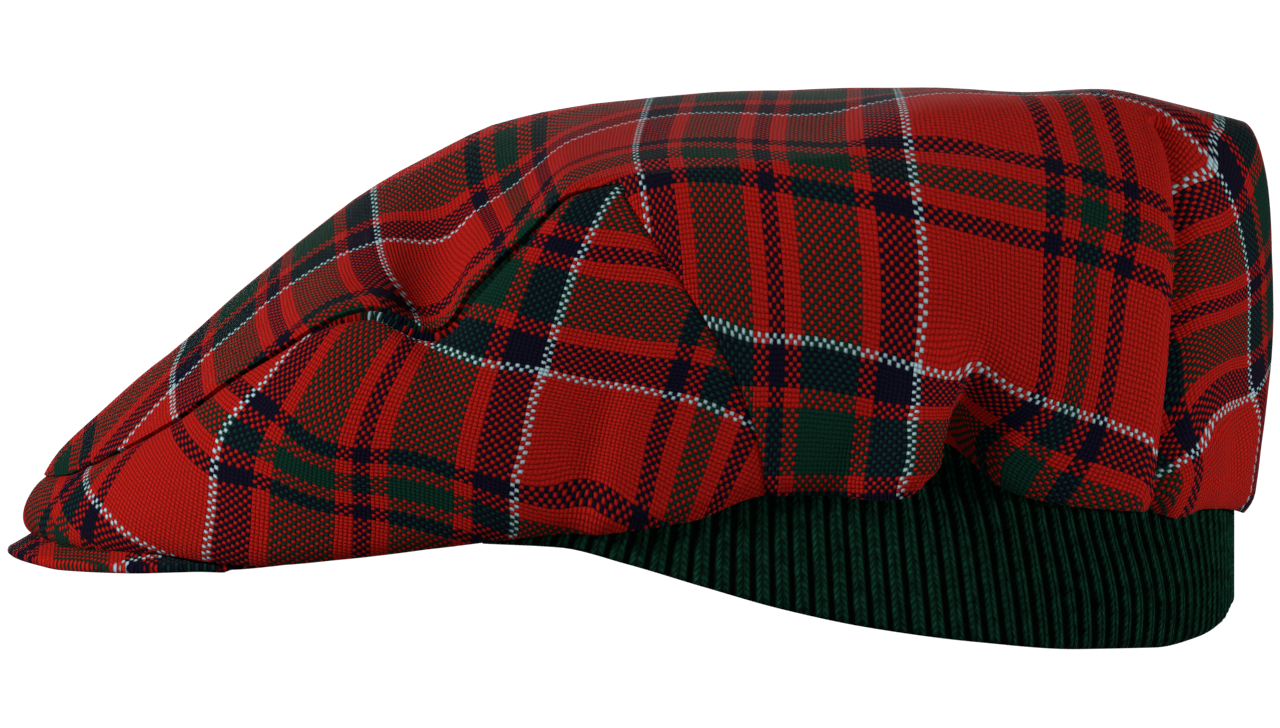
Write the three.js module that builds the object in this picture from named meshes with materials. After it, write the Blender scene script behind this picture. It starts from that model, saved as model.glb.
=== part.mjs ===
// Tartan flat cap with a ribbed knitted ear band, in the shape it has when worn. Millimetres, +Z up.
// The peak points to -Y and the wearer's left is +X. The origin is the centre of the head opening, at the rim.
// Five pieces: the crown (top, sides and back in one cloth, with a dart at each back corner), two side panels
// that meet at the centre front, the stiffened peak, and the knitted band that hangs below the rim at sides
// and back.
import * as THREE from "three";
import { mergeVertices } from "three/addons/utils/BufferGeometryUtils.js";

// ---- driving sizes ----

const CLOTH = 1.8; // wool cloth with its lining fused on
const GAP = 0.4; // between pieces that are sewn together
const BAND_THICKNESS = 2.6;
const BAND_LENGTH = 470; // temple to temple
const BAND_INSET = 3.9; // from the rim's outline in to the face of the band
const BAND_ROUNDING = 3; // height over which its lower edge is rounded
const RIB_PITCH = 4.1;
const RIB_DEPTH = 0.8;
const HUB_Y = -10; // where the profiles of the top start, on the centre line
const TINY = 0.01; // less than this is nothing

// Plan outline of the rim: half of each is two quarter superellipses that meet at the widest place.
const RIM = { front: -157.6, back: 113, half: 85.5, widestY: -10, frontPower: 2.3, backPower: 2.7 };
// Plan outline of the head opening's front, where the peak ends inside.
const BROW = { front: -106, back: 100, half: 79, widestY: -10, frontPower: 2.1, backPower: 2.1 };

// Centre line of the top, front to back, and how far the top is level across (0 for a round one, 1 for a flat
// one).
const CENTRE_LINE = [
  { y: -155.6, z: 6.2, flat: 0 },
  { y: -151.6, z: 11.8, flat: 0 },
  { y: -142.7, z: 20, flat: 0 },
  { y: -124.9, z: 34.9, flat: 0 },
  { y: -107.1, z: 50.7, flat: 0 },
  { y: -89.3, z: 64.7, flat: 0 },
  { y: -71.6, z: 75.8, flat: 0 },
  { y: -53.8, z: 83.8, flat: 0 },
  { y: -27, z: 88.9, flat: 0 },
  { y: 0, z: 91.1, flat: 0 },
  { y: 17, z: 91.6, flat: 0 },
  { y: 32, z: 91.8, flat: 0.5 },
  { y: 45, z: 91.6, flat: 0.9 },
  { y: 60, z: 90.8, flat: 1 },
  { y: 80, z: 91.6, flat: 1 },
  { y: 97, z: 88, flat: 1 },
  { y: 110.7, z: 84.4, flat: 1 },
];

// Edge of the top on one side, front to back, where it turns down. From the nose to the corner it is the seam
// between the crown and a side panel. Behind the corner it is the shoulder of the crown, where the dart starts.
const CORNER_Y = -27;
const DART_Y = 91.3;
const TOP_EDGE = [
  { y: -155.6, x: 0, z: 6 },
  { y: -150.5, x: 17, z: 6.4 },
  { y: -144.3, x: 26, z: 9.1 },
  { y: -137.6, x: 35, z: 12.4 },
  { y: -126.4, x: 47, z: 18.6 },
  { y: -115, x: 57, z: 27 },
  { y: -103, x: 64.5, z: 34.6 },
  { y: -88.4, x: 70, z: 42.4 },
  { y: -80, x: 71, z: 43.8 },
  { y: -68, x: 72, z: 39.4 },
  { y: -59.6, x: 75.5, z: 48 },
  { y: -46.9, x: 77, z: 61.6 },
  { y: -38.2, x: 78.5, z: 70 },
  { y: CORNER_Y, x: 79, z: 72.4 },
  { y: 0, x: 76, z: 75.5 },
  { y: 32, x: 72, z: 77.5 },
  { y: 60, x: 60, z: 79.5 },
  { y: 78, x: 49, z: 82 },
  { y: DART_Y, x: 38, z: 85.4 },
  { y: 100, x: 30, z: 82.6 },
  { y: 107.5, x: 16, z: 83.6 },
  { y: 110.7, x: 0, z: 84.4 },
];

// Lower edge of the cloth, front to back. The seam from the corner reaches it at the foot.
const FOOT_Y = 4.4;
const DART_FOOT_Y = 91;
const HEM = [
  { y: -157.6, z: -7.3 },
  { y: -149, z: -9.8 },
  { y: -132, z: -10.6 },
  { y: -116, z: -12.7 },
  { y: -107, z: -13.3 },
  { y: -89, z: -11.8 },
  { y: -54, z: -7.7 },
  { y: -32, z: -6 },
  { y: -11, z: -2.9 },
  { y: FOOT_Y, z: 2.6 },
  { y: 27, z: 2.8 },
  { y: 34, z: 4 },
  { y: 38, z: 6.6 },
  { y: 41, z: 11 },
  { y: 44, z: 12.6 },
  { y: 47, z: 11 },
  { y: 51, z: 8 },
  { y: 56, z: 4.6 },
  { y: 62, z: 2.2 },
  { y: 72, z: 0.2 },
  { y: DART_FOOT_Y, z: -1.6 },
  { y: 97, z: -2.9 },
  { y: 103, z: -0.9 },
  { y: 108, z: -1.2 },
  { y: 113, z: -2.8 },
];

// The wall between the two edges, by the y of its top: how far it swells past the top edge while it falls, and
// past the lower edge while it rises.
const WALL = [
  { y: -155.6, shoulder: 3, fall: 4, bulge: 4.5, rise: 3 },
  { y: -137.6, shoulder: 5, fall: 5, bulge: 5, rise: 8 },
  { y: -103, shoulder: 8, fall: 7, bulge: 6, rise: 16 },
  { y: -68, shoulder: 10, fall: 3, bulge: 8, rise: 18 },
  { y: CORNER_Y, shoulder: 10, fall: 8, bulge: 6, rise: 30 },
  { y: 0, shoulder: 14, fall: 6, bulge: 6.5, rise: 32 },
  { y: 60, shoulder: 16, fall: 10, bulge: 7, rise: 36 },
  { y: DART_Y, shoulder: 14, fall: 14, bulge: 6, rise: 40 },
  { y: 110.7, shoulder: 7.6, fall: 1.4, bulge: 7.6, rise: 46 },
];

// Folds, in side view. Each is a valley along a line from (y0, z0), where it fades in, to (y1, z1). Past that end
// it fades out over a length of its own. ahead and behind are its half widths towards the front and the back.
const FOLDS = [
  { name: "top sags", y0: -62, z0: 80, y1: -69, z1: 46, past: 10, ahead: 14, behind: 9, depth: 3 },
  { name: "rim swells", y0: 47, z0: 42, y1: 38, z1: 12, past: 60, ahead: 15, behind: 3.2, depth: -8.5 },
  { name: "rim is gathered", y0: 55, z0: 38, y1: 48, z1: 21, past: 7, ahead: 4, behind: 13, depth: 4.2 },
  { name: "panel hollow", y0: -22, z0: 44, y1: -34, z1: 10, past: 60, ahead: 10, behind: 6, depth: 2.2 },
  { name: "back wave", y0: 110, z0: 30, y1: 109, z1: 8, past: 60, ahead: 4, behind: 4, depth: 1.4 },
];

// Over the temple the crown hangs over the side panel, which is tucked in beneath it. By the y of their seam: how
// far the crown stands out there, and how far the panel lies in. Both fade out away from the seam.
const OVERHANG_WIDTH = 12;
const OVERHANG = [
  { y: -120, lip: 0, tuck: 0 },
  { y: -96, lip: 0.3, tuck: 0.3 },
  { y: -84, lip: 1.3, tuck: 1.1 },
  { y: -70, lip: 1.6, tuck: 1.4 },
  { y: -58, lip: 1.4, tuck: 1.2 },
  { y: -46, lip: 0.9, tuck: 0.8 },
  { y: -34, lip: 0.3, tuck: 0.2 },
  { y: CORNER_Y, lip: 0, tuck: 0 },
];

// The peak, by the y of the rim above it: how far it stands out past the rim, the height of its top at its own
// edge and inside at the brow, and its thickness.
const PEAK_BACK_Y = -64;
const BROW_BACK_Y = -60;
const SEAT_GAP = 1.2; // from the hem down to the board
const PEAK = [
  { y: -157.6, overhang: 5.8, edge: -9.8, inside: 4, thickness: 2 },
  { y: -156, overhang: 5.8, edge: -10.3, inside: 4, thickness: 2.2 },
  { y: -152.6, overhang: 5.6, edge: -11, inside: 3.8, thickness: 2.5 },
  { y: -147, overhang: 5.2, edge: -11.8, inside: 3.4, thickness: 2.8 },
  { y: -134, overhang: 3.6, edge: -12.2, inside: 2, thickness: 2.8 },
  { y: -123, overhang: 0.6, edge: -12.3, inside: 1, thickness: 2.4 },
  { y: -116, overhang: -2.9, edge: -12.2, inside: 0, thickness: 2.2 },
  { y: -100, overhang: -3.2, edge: -10.6, inside: -2, thickness: 2.2 },
  { y: PEAK_BACK_Y, overhang: -3.2, edge: -6, inside: -4, thickness: 2.2 },
];

// Edges of the knitted band: the upper one lies inside the crown.
const BAND_FRONT_Y = -58;
const BAND_TOP = [
  { y: BAND_FRONT_Y, z: 5 },
  { y: 0, z: 13 },
  { y: 30, z: 16.5 },
  { y: 44, z: 18 },
  { y: 60, z: 16 },
  { y: 85, z: 12 },
  { y: 112.5, z: 10 },
];
const BAND_LINE = [
  { y: BAND_FRONT_Y, z: -7.6 },
  { y: -41, z: -8.4 },
  { y: -26, z: -12 },
  { y: -9, z: -17 },
  { y: 8, z: -21.8 },
  { y: 28, z: -26 },
  { y: 52, z: -29.2 },
  { y: 76, z: -31 },
  { y: 94, z: -31 },
  { y: 104, z: -29.2 },
  { y: 110, z: -26.6 },
  { y: 112.5, z: -23 },
];

// ---- curves ----

// Reads one column of a table at y, on a smooth curve through its rows that never overshoots them.
function column(table, name, y) {
  const last = table.length - 1;
  if (y <= table[0].y) return table[0][name];
  if (y >= table[last].y) return table[last][name];
  let i = 0;
  while (y > table[i + 1].y) i++;
  const slope = (k) => (table[k + 1][name] - table[k][name]) / (table[k + 1].y - table[k].y);
  const tangent = (k) => {
    if (k === 0) return slope(0);
    if (k === last) return slope(last - 1);
    const product = slope(k - 1) * slope(k);
    return product <= 0 ? 0 : (2 * product) / (slope(k - 1) + slope(k));
  };
  const step = table[i + 1].y - table[i].y;
  const s = (y - table[i].y) / step;
  const ease = s * s * (3 - 2 * s);
  const bend = step * s * (1 - s) * ((1 - s) * tangent(i) - s * tangent(i + 1));
  return table[i][name] * (1 - ease) + table[i + 1][name] * ease + bend;
}

const smoothstep = (t) => THREE.MathUtils.smoothstep(t, 0, 1);

// Half width of a plan outline at y.
function halfWidth(outline, y) {
  const front = y < outline.widestY;
  const power = front ? outline.frontPower : outline.backPower;
  const reach = front ? outline.front : outline.back;
  const along = Math.min(1, (y - outline.widestY) / (reach - outline.widestY));
  return outline.half * (1 - along ** power) ** (1 / power);
}

// Splits the stretch of a curve between two values of y into equal lengths. point(y) gives the curve.
const CURVE_SAMPLES = 400;

function evenSteps(point, yStart, yEnd, count) {
  const curve = Array.from({ length: CURVE_SAMPLES + 1 }, (_, i) => {
    // samples crowd at the ends, where the outlines turn square to the centre line
    const share = 0.5 - 0.5 * Math.cos((Math.PI * i) / CURVE_SAMPLES);
    return point(THREE.MathUtils.lerp(yStart, yEnd, share));
  });
  const lengths = [0];
  for (let i = 1; i < curve.length; i++) lengths.push(lengths[i - 1] + curve[i].distanceTo(curve[i - 1]));
  return Array.from({ length: count + 1 }, (_, k) => {
    const target = (lengths.at(-1) * k) / count;
    let i = 1;
    while (i < CURVE_SAMPLES && lengths[i] < target) i++;
    const s = (target - lengths[i - 1]) / (lengths[i] - lengths[i - 1] || 1);
    return curve[i - 1].clone().lerp(curve[i], s);
  });
}

// ---- the form that all the cloth lies on ----

const TOP_WIDTH = TOP_EDGE.map(({ y, x }) => ({ y, square: x * x }));

function edgePoint(y) {
  return new THREE.Vector3(Math.sqrt(column(TOP_WIDTH, "square", y)), y, column(TOP_EDGE, "z", y));
}

function rimPoint(y) {
  return new THREE.Vector3(halfWidth(RIM, y), y, column(HEM, "z", y));
}

// Level direction square to the rim, outwards.
function rimOutward(point) {
  const front = point.y < RIM.widestY;
  const power = front ? RIM.frontPower : RIM.backPower;
  const reach = (front ? RIM.front : RIM.back) - RIM.widestY;
  const across = (point.x / RIM.half) ** (power - 1) / RIM.half;
  const along = ((point.y - RIM.widestY) / reach) ** (power - 1) / reach;
  return new THREE.Vector3(across, along, 0).normalize();
}

// Height of the top over a place in plan: it falls from the centre line to the edge of the top, evenly where the
// top is round and only near the edge where it is flat.
const FLAT_POWER = 6;

function topHeight(x, y) {
  const centre = column(CENTRE_LINE, "z", y);
  const flat = column(CENTRE_LINE, "flat", y);
  const out = Math.min(1, x / Math.max(TINY, edgePoint(y).x));
  const fall = THREE.MathUtils.lerp((2 * out * out) / (1 + out), out ** FLAT_POWER, flat);
  return centre - (centre - column(TOP_EDGE, "z", y)) * fall;
}

function topPoint(edge, out) {
  const x = edge.x * out;
  const y = HUB_Y + (edge.y - HUB_Y) * out;
  return new THREE.Vector3(x, y, topHeight(x, y));
}

function wallPoint(edge, rim, down) {
  const outward = rimOutward(rim);
  const size = (name) => column(WALL, name, edge.y);
  const up = new THREE.Vector3(0, 0, 1);
  const over = edge.clone().addScaledVector(outward, size("shoulder")).addScaledVector(up, -size("fall"));
  const under = rim.clone().addScaledVector(outward, size("bulge")).addScaledVector(up, size("rise"));
  return new THREE.CubicBezierCurve3(edge, over, under, rim).getPoint(down);
}

// How far the folds push a place inwards. The place is given in side view.
function foldDepth(y, z) {
  let depth = 0;
  for (const fold of FOLDS) {
    const start = new THREE.Vector2(fold.y0, fold.z0);
    const line = new THREE.Vector2(fold.y1, fold.z1).sub(start);
    const place = new THREE.Vector2(y, z).sub(start);
    const along = place.dot(line) / line.lengthSq();
    const across = place.cross(line) / line.length();
    const reach = Math.min(1, Math.abs(across) / (across < 0 ? fold.behind : fold.ahead));
    const left = 1 - ((along - 1) * line.length()) / fold.past;
    depth += fold.depth * smoothstep(along) * smoothstep(left) * (0.5 + 0.5 * Math.cos(Math.PI * reach));
  }
  return depth;
}

// Columns run round the left half: nose to corner, corner to dart, dart to back. Rings run from the hub of the
// top out to its edge, and down the wall to the rim.
const FRONT_COLUMNS = 20;
const SIDE_COLUMNS = 18;
const BACK_COLUMNS = 8;
const HALF_COLUMNS = FRONT_COLUMNS + SIDE_COLUMNS + BACK_COLUMNS;
const COLUMNS = 2 * HALF_COLUMNS;
const TOP_RINGS = 8;
const RING_CROWDING = 1.5; // more rings near the edge of the top
const WALL_RINGS = 9;
const RINGS = TOP_RINGS + WALL_RINGS;
const DART_DEPTH = 1.2;
const DART_HALF_WIDTH = 5;

const stretches = [
  { steps: FRONT_COLUMNS, edge: [TOP_EDGE[0].y, CORNER_Y], rim: [RIM.front, FOOT_Y] },
  { steps: SIDE_COLUMNS, edge: [CORNER_Y, DART_Y], rim: [FOOT_Y, DART_FOOT_Y] },
  { steps: BACK_COLUMNS, edge: [DART_Y, TOP_EDGE.at(-1).y], rim: [DART_FOOT_Y, RIM.back] },
];

// Both edges of the wall, one point a column.
const edges = [edgePoint(TOP_EDGE[0].y)];
const rims = [rimPoint(RIM.front)];
for (const { steps, edge, rim } of stretches) {
  edges.push(...evenSteps(edgePoint, ...edge, steps).slice(1));
  rims.push(...evenSteps(rimPoint, ...rim, steps).slice(1));
}

const dartColumn = FRONT_COLUMNS + SIDE_COLUMNS;

function formPoint(columnIndex, ring) {
  const edge = edges[columnIndex];
  const rim = rims[columnIndex];
  if (ring <= TOP_RINGS) return topPoint(edge, 1 - (1 - ring / TOP_RINGS) ** RING_CROWDING);
  return wallPoint(edge, rim, (ring - TOP_RINGS) / WALL_RINGS);
}

// The hub is vertex 0. After it come the rings of each column, all round.
const vertexAt = (columnIndex, ring) => (ring === 0 ? 0 : 1 + (columnIndex % COLUMNS) * RINGS + ring - 1);

function cellsBetween(columnFrom, columnTo, ringFrom, ringTo) {
  const cells = [];
  for (let c = columnFrom; c < columnTo; c++) {
    for (let r = ringFrom; r < ringTo; r++) {
      const [a, b] = [vertexAt(c, r), vertexAt(c + 1, r)];
      const [d, e] = [vertexAt(c, r + 1), vertexAt(c + 1, r + 1)];
      // the quads of the right half are split along the other diagonal, so that both halves are alike
      cells.push(c < HALF_COLUMNS ? [a, d, e] : [b, d, e]);
      if (r > 0) cells.push(c < HALF_COLUMNS ? [a, e, b] : [a, d, b]);
    }
  }
  return cells;
}

function geometryOf(points, triangles) {
  const geometry = new THREE.BufferGeometry();
  geometry.setAttribute("position", new THREE.Float32BufferAttribute(points.flatMap((p) => p.toArray()), 3));
  geometry.setIndex(triangles.flat());
  return geometry;
}

function vertexNormals(points, triangles) {
  const geometry = geometryOf(points, triangles);
  geometry.computeVertexNormals();
  const normals = geometry.getAttribute("normal");
  return points.map((_, i) => new THREE.Vector3().fromBufferAttribute(normals, i));
}

function makeForm() {
  const points = [topPoint(edges[0], 0)];
  for (let c = 0; c < COLUMNS; c++) {
    const half = Math.min(c, COLUMNS - c);
    for (let ring = 1; ring <= RINGS; ring++) {
      const point = formPoint(half, ring);
      if (c > HALF_COLUMNS) point.x = -point.x;
      points.push(point);
    }
  }
  const all = cellsBetween(0, COLUMNS, 0, RINGS);
  const normals = vertexNormals(points, all);
  points.forEach((point, i) => {
    const ring = i === 0 ? 0 : ((i - 1) % RINGS) + 1;
    let depth = foldDepth(point.y, point.z);
    if (ring >= TOP_RINGS) {
      const away = Math.abs(point.y - formPoint(dartColumn, ring).y);
      depth += DART_DEPTH * smoothstep(1 - away / DART_HALF_WIDTH);
    }
    if (Math.abs(point.x) > TINY) point.addScaledVector(normals[i], -depth);
  });
  return { points, normals: vertexNormals(points, all) };
}

const form = makeForm();
const seamLine = form.points.filter((_, vertex) => {
  const columnIndex = Math.floor((vertex - 1) / RINGS);
  const onSeam = vertex > 0 && (vertex - 1) % RINGS === TOP_RINGS - 1;
  return onSeam && Math.min(columnIndex, COLUMNS - columnIndex) <= FRONT_COLUMNS;
});

// How much of the crown's lip or of the panel's tuck is left at a vertex.
function overhang(name, vertex) {
  const distances = seamLine.map((point) => point.distanceTo(form.points[vertex]));
  const distance = Math.min(...distances);
  const fade = Math.max(0, 1 - distance / OVERHANG_WIDTH) ** 2;
  return column(OVERHANG, name, seamLine[distances.indexOf(distance)].y) * fade;
}

// ---- making solids ----

// Turns a sheet of triangles into a closed wall of cloth. Edges that are sewn to another piece are drawn in by
// half of the gap. free(vertex) says which vertices lie on an edge that is sewn to nothing, and rise(vertex) how
// far a vertex stands out from the form.
function clothWall(cells, thickness, free, rise) {
  const sides = new Map();
  for (const cell of cells) {
    cell.forEach((from, i) => {
      const to = cell[(i + 1) % 3];
      if (!sides.delete(`${to},${from}`)) sides.set(`${from},${to}`, [from, to]);
    });
  }
  const inward = new Map();
  for (const [from, to] of sides.values()) {
    if (free(from) && free(to)) continue;
    const along = form.points[to].clone().sub(form.points[from]);
    const normal = form.normals[from].clone().add(form.normals[to]);
    const step = normal.cross(along).normalize();
    for (const v of [from, to]) inward.set(v, (inward.get(v) ?? new THREE.Vector3()).add(step));
  }
  const used = [...new Set(cells.flat())];
  const place = new Map(used.map((v, i) => [v, i]));
  const outer = used.map((v) => {
    const point = form.points[v].clone().addScaledVector(form.normals[v], rise(v));
    if (inward.has(v)) point.addScaledVector(inward.get(v).clone().normalize(), GAP / 2);
    return point;
  });
  const inner = used.map((v, i) => outer[i].clone().addScaledVector(form.normals[v], -thickness));
  const n = used.length;
  const triangles = [];
  for (const [a, b, c] of cells.map((cell) => cell.map((v) => place.get(v)))) {
    triangles.push([a, b, c], [a + n, c + n, b + n]);
  }
  for (const [a, b] of [...sides.values()].map((side) => side.map((v) => place.get(v)))) {
    triangles.push([a, a + n, b + n], [a, b + n, b]);
  }
  return geometryOf([...outer, ...inner], triangles);
}

// Closed solid round a block of points: sections[i][j] goes round section i, and both ends are capped.
function loftedSolid(sections) {
  const around = sections[0].length;
  const triangles = [];
  for (let i = 0; i + 1 < sections.length; i++) {
    for (let j = 0; j < around; j++) {
      const k = (j + 1) % around;
      const [a, b] = [i * around + j, i * around + k];
      triangles.push([a, b, b + around], [a, b + around, a + around]);
    }
  }
  const last = (sections.length - 1) * around;
  for (let j = 1; j + 1 < around; j++) {
    triangles.push([0, j + 1, j], [last, last + j, last + j + 1]);
  }
  return geometryOf(sections.flat(), triangles);
}

function mirrored(geometry) {
  const copy = geometry.clone().scale(-1, 1, 1);
  const index = copy.getIndex();
  for (let i = 0; i < index.count; i += 3) {
    const swap = index.getX(i);
    index.setX(i, index.getX(i + 1));
    index.setX(i + 1, swap);
  }
  return copy;
}

// ---- pieces ----

const onRim = (vertex) => vertex > 0 && (vertex - 1) % RINGS === RINGS - 1;

function crown() {
  const top = cellsBetween(0, COLUMNS, 0, TOP_RINGS);
  const wall = cellsBetween(FRONT_COLUMNS, COLUMNS - FRONT_COLUMNS, TOP_RINGS, RINGS);
  return clothWall([...top, ...wall], CLOTH, onRim, (vertex) => overhang("lip", vertex));
}

function sidePanel() {
  const cells = cellsBetween(0, FRONT_COLUMNS, TOP_RINGS, RINGS);
  return clothWall(cells, CLOTH, onRim, (vertex) => -overhang("tuck", vertex));
}

// The peak lies under the lower edge of the side panels. A section runs from the peak's own edge, under the rim,
// to the brow inside, and back along the underside.
const EDGE_RISE = 1.8; // from the peak's edge up to where the rim sits on it
const EDGE_BEVEL = 1; // how far in from its edge the top of the peak is level, at least
const HIDDEN_FROM = 1.5; // how far in from the rim the board starts to rise inside the cloth
const HIDDEN_BY = 2.9; // and how far in it lies inside it
const HIDDEN_RISE = 0.3; // from its edge up to its top there
const CROWN_OF_BOARD = 1; // how far the board arches between its edge and the brow
const ARCH_SHARE = 0.4; // how much of the way to the brow its highest place lies

function peakSection(rim, brow) {
  const size = (name) => column(PEAK, name, rim.y);
  const outward = rimOutward(rim);
  const overhang = size("overhang");
  // behind the visible part the board lies inside the cloth, so it need not pass under the hem
  const hidden = smoothstep((-overhang - HIDDEN_FROM) / (HIDDEN_BY - HIDDEN_FROM));
  const under = Math.min(size("edge") + EDGE_RISE, rim.z - SEAT_GAP);
  const seat = THREE.MathUtils.lerp(under, size("edge") + HIDDEN_RISE, hidden);
  const level = Math.min(overhang - 2 * EDGE_BEVEL, -CLOTH - GAP);
  const inset = (distance, z) => rim.clone().addScaledVector(outward, distance).setZ(z);
  const archHeight = (seat + size("inside")) / 2 + CROWN_OF_BOARD;
  const top = [
    inset(overhang, size("edge")),
    inset(Math.min(overhang - EDGE_BEVEL, GAP), seat),
    inset(level, seat),
    inset(level, 0).lerp(brow, ARCH_SHARE).setZ(archHeight),
    brow.clone().setZ(size("inside")),
  ];
  const underside = top.map((point) => point.clone().setZ(point.z - size("thickness"))).reverse();
  return [...top, ...underside];
}

function peak() {
  const rimCurve = rims.filter((rim) => rim.y < PEAK_BACK_Y);
  const browPoint = (y) => new THREE.Vector3(halfWidth(BROW, y), y, 0);
  const browCurve = evenSteps(browPoint, BROW.front, BROW_BACK_Y, rimCurve.length - 1);
  const left = rimCurve.map((rim, i) => peakSection(rim, browCurve[i]));
  const right = left.slice(1).map((section) => section.map((p) => new THREE.Vector3(-p.x, p.y, p.z)));
  return loftedSolid([...left.reverse(), ...right]);
}

// The knitted band runs from temple to temple round the back, close inside the rim of the crown. Two steps along
// it make one rib.
function earBand() {
  const steps = 2 * Math.round(BAND_LENGTH / 2 / RIB_PITCH);
  const levelRim = (y) => rimPoint(y).setZ(0);
  const left = evenSteps(levelRim, BAND_FRONT_Y, RIM.back, steps).map((rim, i) => {
    const outward = rimOutward(rim);
    const groove = i % 2 === 0 ? 0 : RIB_DEPTH;
    const top = column(BAND_TOP, "z", rim.y);
    const bottom = column(BAND_LINE, "z", rim.y);
    const at = (depth, z) => rim.clone().addScaledVector(outward, -BAND_INSET - depth).setZ(z);
    return [
      at(groove, top),
      at(groove, (top + bottom) / 2),
      at(groove, bottom + BAND_ROUNDING),
      at(BAND_THICKNESS / 2, bottom),
      at(BAND_THICKNESS - groove, bottom + BAND_ROUNDING),
      at(BAND_THICKNESS - groove, top),
    ];
  });
  const right = left.slice(0, -1).map((section) => section.map((p) => new THREE.Vector3(-p.x, p.y, p.z)));
  return loftedSolid([...left, ...right.reverse()]);
}

// ---- the cap ----

const tartanRed = { color: 0xa11c20, roughness: 0.95, metalness: 0 };
const bottleGreen = { color: 0x0b3325, roughness: 1, metalness: 0 };

function piece(name, geometry, finish) {
  const bare = new THREE.BufferGeometry();
  bare.setAttribute("position", geometry.getAttribute("position"));
  bare.setIndex(geometry.getIndex());
  const mesh = new THREE.Mesh(mergeVertices(bare, 1e-4), new THREE.MeshStandardMaterial(finish));
  mesh.name = name;
  return mesh;
}

const cap = new THREE.Group();
const panel = sidePanel();
cap.add(piece("crown", crown(), tartanRed));
cap.add(piece("side_panel_left", panel, tartanRed));
cap.add(piece("side_panel_right", mirrored(panel), tartanRed));
cap.add(piece("peak", peak(), tartanRed));
cap.add(piece("ear_band", earBand(), bottleGreen));

export default cap;
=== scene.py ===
# A flat cap of red tartan with a ribbed knitted ear band, held up as a head would hold it.
# It is put together here as it is sewn: crown, side panels, peak, ear band.
import math
import bmesh
import bpy
import numpy as np
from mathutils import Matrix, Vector, noise


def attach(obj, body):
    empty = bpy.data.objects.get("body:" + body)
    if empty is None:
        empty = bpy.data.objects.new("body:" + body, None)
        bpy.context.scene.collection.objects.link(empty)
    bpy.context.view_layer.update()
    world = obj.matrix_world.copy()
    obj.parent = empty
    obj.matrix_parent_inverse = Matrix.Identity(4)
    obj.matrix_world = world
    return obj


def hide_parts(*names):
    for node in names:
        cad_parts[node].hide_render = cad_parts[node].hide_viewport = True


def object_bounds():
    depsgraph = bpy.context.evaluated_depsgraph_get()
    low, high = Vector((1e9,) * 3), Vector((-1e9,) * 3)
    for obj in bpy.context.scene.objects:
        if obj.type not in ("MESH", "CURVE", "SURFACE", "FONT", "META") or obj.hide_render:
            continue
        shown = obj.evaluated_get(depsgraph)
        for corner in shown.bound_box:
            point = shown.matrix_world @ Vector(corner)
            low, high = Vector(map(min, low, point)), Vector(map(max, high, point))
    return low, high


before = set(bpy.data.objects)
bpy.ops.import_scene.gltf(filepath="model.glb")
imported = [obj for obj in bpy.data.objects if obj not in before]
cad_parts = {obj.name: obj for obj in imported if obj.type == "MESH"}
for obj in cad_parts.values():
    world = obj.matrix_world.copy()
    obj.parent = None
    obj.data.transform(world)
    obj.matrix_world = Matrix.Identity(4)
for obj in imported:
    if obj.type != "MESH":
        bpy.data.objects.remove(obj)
cad_low, cad_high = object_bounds()
MM = 0.001  # the sizes of the cap are in millimetres, and those of the studio in metres

# ---- camera and studio ----
# An almost level camera on the wearer's left, far enough away that the near side hardly looks larger than the
# far one. The room is one pale sweep of paper, a floor that bends up into a wall all round, with soft lamps
# in it.

CAMERA_DISTANCE = 5.0
CAMERA_HEIGHT_ANGLE = math.radians(1.0)
VIEW_WIDTH = 0.2844
SENSOR_WIDTH = 36
cap_middle = (cad_low + cad_high) / 2
toward_camera = Vector((math.cos(CAMERA_HEIGHT_ANGLE), 0, math.sin(CAMERA_HEIGHT_ANGLE)))

camera = bpy.data.objects.new("camera", bpy.data.cameras.new("camera"))
camera.data.sensor_width = SENSOR_WIDTH
camera.data.lens = SENSOR_WIDTH * CAMERA_DISTANCE / VIEW_WIDTH
camera.data.clip_end = 50  # well past the wall
camera.location = Vector((0, cap_middle.y, cap_middle.z)) + CAMERA_DISTANCE * toward_camera
camera.rotation_euler = (math.pi / 2 - CAMERA_HEIGHT_ANGLE, 0, math.pi / 2)
bpy.context.scene.collection.objects.link(camera)
bpy.context.scene.camera = camera
bpy.context.scene.view_settings.view_transform = "Standard"


def lamp(name, place, size, watts):
    light = bpy.data.objects.new(name, bpy.data.lights.new(name, "AREA"))
    light.data.shape = "DISK"
    light.data.size = size
    light.data.energy = watts
    light.location = place
    light.rotation_euler = (cap_middle - Vector(place)).to_track_quat("-Z", "Y").to_euler()
    bpy.context.scene.collection.objects.link(light)


lamp("front_lamp", (0.6, -1.4, 0.7), size=0.4, watts=29)
lamp("rear_lamp", (0.45, 1.65, 0.3), size=0.5, watts=20)
lamp("far_lamp", (-1.5, 0, 0.5), size=0.8, watts=14)
lamp("low_lamp", (0.8, 0.2, -0.33), size=0.5, watts=1.2)

world = bpy.data.worlds.new("studio_air")
world.use_nodes = True
air = world.node_tree
background = air.nodes["Background"]
background.inputs["Color"].default_value = (1, 1, 1, 1)
seen = air.nodes.new("ShaderNodeLightPath")
strength = air.nodes.new("ShaderNodeMapRange")
strength.inputs["To Min"].default_value = 0.13  # what lights the cap
strength.inputs["To Max"].default_value = 1  # what the eye sees past the paper
air.links.new(seen.outputs["Is Camera Ray"], strength.inputs["Value"])
air.links.new(strength.outputs["Result"], background.inputs["Strength"])
bpy.context.scene.world = world

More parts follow.
